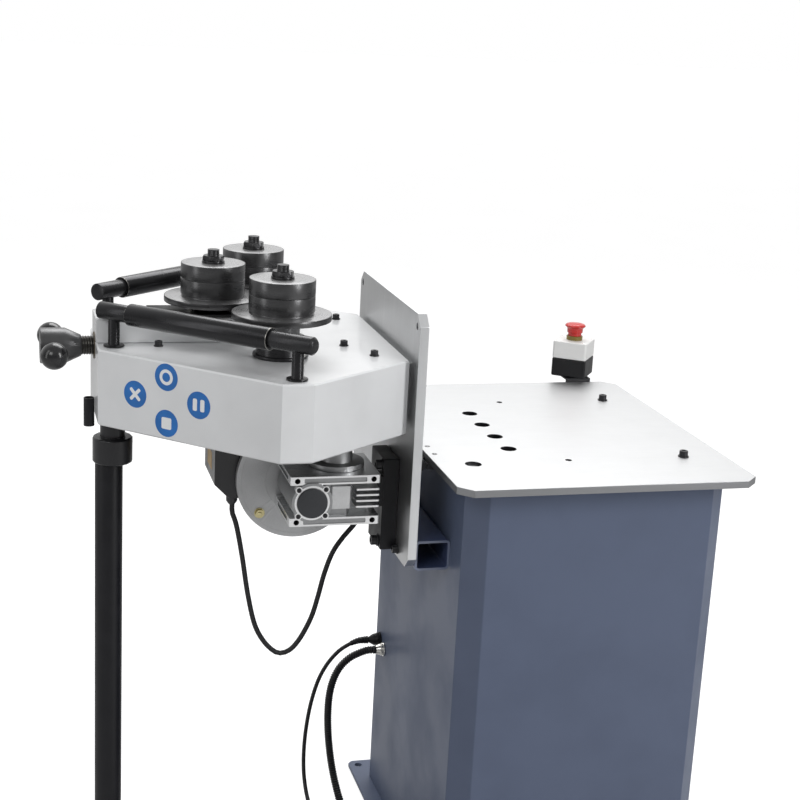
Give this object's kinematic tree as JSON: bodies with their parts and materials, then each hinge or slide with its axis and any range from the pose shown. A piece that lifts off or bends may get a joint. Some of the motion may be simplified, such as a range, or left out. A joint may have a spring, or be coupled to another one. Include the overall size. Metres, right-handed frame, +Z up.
{
  "type": "ring roller",
  "caption": "Ring and section bending machine: upright rolls on a geared head that tilts over a cabinet table, pressed by a hand screw.",
  "frame": {"origin": "floor level under the centre of the cabinet's base plate", "axes": "+Z up; -X from the cabinet towards the rolling head and its handle; +Y to the rear, where the motor's fan and the cabinet's panel are"},
  "size_m": [1.1057, 0.7101, 1.091],
  "materials": {
    "head_paint": "gloss light grey paint",
    "cabinet_paint": "gloss slate blue paint",
    "tube_paint": "gloss dark blue paint",
    "black_paint": "satin black paint",
    "white_steel": "satin white steel",
    "ground_steel": "ground",
    "black_oxide": "turned, black oxide",
    "cast_aluminium": "die cast, machined edges",
    "motor_paint": "satin grey paint on castings",
    "bronze": "turned bronze",
    "nickel": "nickel plated",
    "pedal_casting": "black painted casting",
    "black_plastic": "moulded matte",
    "white_plastic": "moulded matte",
    "red_plastic": "moulded gloss",
    "lead_rubber": "matte jacket"
  },
  "bodies": {
    "stand": {"cabinet_base": "cabinet_paint", "cabinet_shell": "cabinet_paint", "cabinet_rear_panel": "cabinet_paint", "table_plate": "white_steel", "tilt_stop_tube": "tube_paint", "table_hinge_front": "black_paint", "table_hinge_rear": "black_paint", "estop_bracket": "black_paint", "estop_base": "black_plastic", "estop_cover": "white_plastic", "mains_gland": "black_plastic", "mains_lead": "lead_rubber", "mains_lead_coil": "lead_rubber", "mains_plug": "black_plastic", "conduit_gland": "nickel", "pedal_conduit": "lead_rubber", "pedal_conduit_coil": "lead_rubber", "pedal_base": "pedal_casting", "motor_cable_gland": "black_plastic", "motor_cable_stand": "lead_rubber"},
    "head": {"head_plate": "ground_steel", "plate_hinge_front": "black_paint", "plate_hinge_rear": "black_paint", "head_housing": "head_paint", "housing_floor": "black_paint", "slide_guide": "head_paint", "screw_nut": "bronze", "bearing_boss_front": "black_oxide", "bearing_boss_rear": "black_oxide", "support_rail_front": "black_oxide", "support_rail_rear": "black_oxide", "leg_collar": "black_paint", "leg_tube": "black_paint", "key_holder": "black_paint", "gearbox_bracket": "black_paint", "gearbox_housing": "cast_aluminium", "gearbox_cap": "black_plastic", "gearbox_outlet": "cast_aluminium", "motor_body": "motor_paint", "motor_fan_cover": "motor_paint", "terminal_box": "black_plastic", "motor_cable_head": "lead_rubber"},
    "drive_front": {"drive_shaft_front": "black_oxide", "drive_gear_front": "ground_steel", "roll_front": "black_oxide"},
    "drive_rear": {"drive_shaft_rear": "black_oxide", "drive_gear_rear": "ground_steel", "roll_rear": "black_oxide"},
    "idler": {"idler_gear": "ground_steel"},
    "pinion_shaft": {"pinion": "ground_steel"},
    "slide": {"slide_block": "black_oxide", "press_shaft": "black_oxide"},
    "pressing_roll": {"press_roll": "black_oxide"},
    "screw": {"lead_screw": "ground_steel", "screw_hub": "black_oxide", "handle_bar": "black_plastic"},
    "sleeve_front": {"support_sleeve_front": "black_oxide"},
    "sleeve_rear": {"support_sleeve_rear": "black_oxide"},
    "stop_button": {"estop_button": "red_plastic"},
    "tread": {"pedal_tread": "pedal_casting"}
  },
  "joints": [
    {"name": "head_tilt", "type": "hinge", "parent": "stand", "child": "head", "pos_m": [-0.264, 0, 0.766], "axis": [0, 1, 0], "range_deg": [0, 90]},
    {"name": "roll_front_spin", "type": "hinge", "parent": "head", "child": "drive_front", "pos_m": [-0.497, -0.132, 0.9], "axis": [0, 0, 1], "continuous": true},
    {"name": "roll_rear_spin", "type": "hinge", "parent": "head", "child": "drive_rear", "pos_m": [-0.497, 0.132, 0.9], "axis": [0, 0, 1], "continuous": true},
    {"name": "idler_spin", "type": "hinge", "parent": "head", "child": "idler", "pos_m": [-0.497, 0, 0.865], "axis": [0, 0, 1], "continuous": true},
    {"name": "pinion_spin", "type": "hinge", "parent": "head", "child": "pinion_shaft", "pos_m": [-0.39609, -0.10684, 0.8], "axis": [0, 0, 1], "continuous": true},
    {"name": "press_slide", "type": "slide", "parent": "head", "child": "slide", "axis": [-1, 0, 0], "range_m": [0, 0.062]},
    {"name": "press_roll_spin", "type": "hinge", "parent": "slide", "child": "pressing_roll", "pos_m": [-0.584, 0, 1.04], "axis": [0, 0, 1], "continuous": true},
    {"name": "screw_turn", "type": "hinge", "parent": "slide", "child": "screw", "pos_m": [-0.72, 0, 0.937], "axis": [-1, 0, 0], "range_deg": [0, 3720.1]},
    {"name": "sleeve_front_spin", "type": "hinge", "parent": "head", "child": "sleeve_front", "pos_m": [-0.744, -0.0561, 1.002], "axis": [0.7364, -0.6766, 0], "continuous": true},
    {"name": "sleeve_rear_spin", "type": "hinge", "parent": "head", "child": "sleeve_rear", "pos_m": [-0.744, 0.0561, 1.014], "axis": [0.7364, 0.6766, 0], "continuous": true},
    {"name": "stop_press", "type": "slide", "parent": "stand", "child": "stop_button", "axis": [0, 0, -1], "range_m": [0, 0.005], "stiffness_N_per_m": 800, "springref_m": -0.002},
    {"name": "tread_press", "type": "hinge", "parent": "stand", "child": "tread", "pos_m": [-0.5038, -0.22445, 0.038], "axis": [0, -1, 0], "range_deg": [0, 5], "stiffness_Nm_per_rad": 6, "springref_deg": -5.73}
  ],
  "couplings": [
    {"joint": "roll_rear_spin", "follows": "roll_front_spin", "ratio": 1},
    {"joint": "idler_spin", "follows": "roll_front_spin", "ratio": -1.2},
    {"joint": "pinion_spin", "follows": "roll_front_spin", "ratio": -2.25},
    {"joint": "screw_turn", "follows": "press_slide", "rad_per_m": 1047.2}
  ]
}
